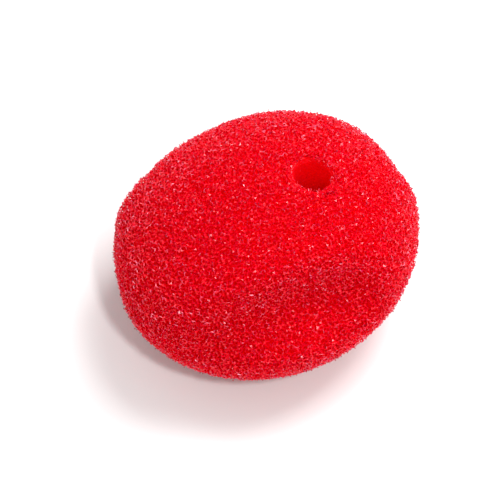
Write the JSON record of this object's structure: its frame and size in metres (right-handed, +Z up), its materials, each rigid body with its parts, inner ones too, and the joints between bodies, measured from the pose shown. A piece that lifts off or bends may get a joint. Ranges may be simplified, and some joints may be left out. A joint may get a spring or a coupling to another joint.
{
  "type": "clown nose",
  "caption": "Soft round foam nose in its squeezed form, with a blind hole that grips the tip of the wearer's nose and troughs pressed into the foam.",
  "frame": {"origin": "under the middle of the ball's outline, on the surface that its flat foot rests on", "axes": "+Z up, the way that the nose hole opens; +X along the ball's longest way"},
  "size_m": [0.0554, 0.0474, 0.0364],
  "materials": {
    "foam": "matte, fine open-cell polyurethane foam"
  },
  "bodies": {
    "root": {"foam_ball": "foam"}
  },
  "joints": []
}
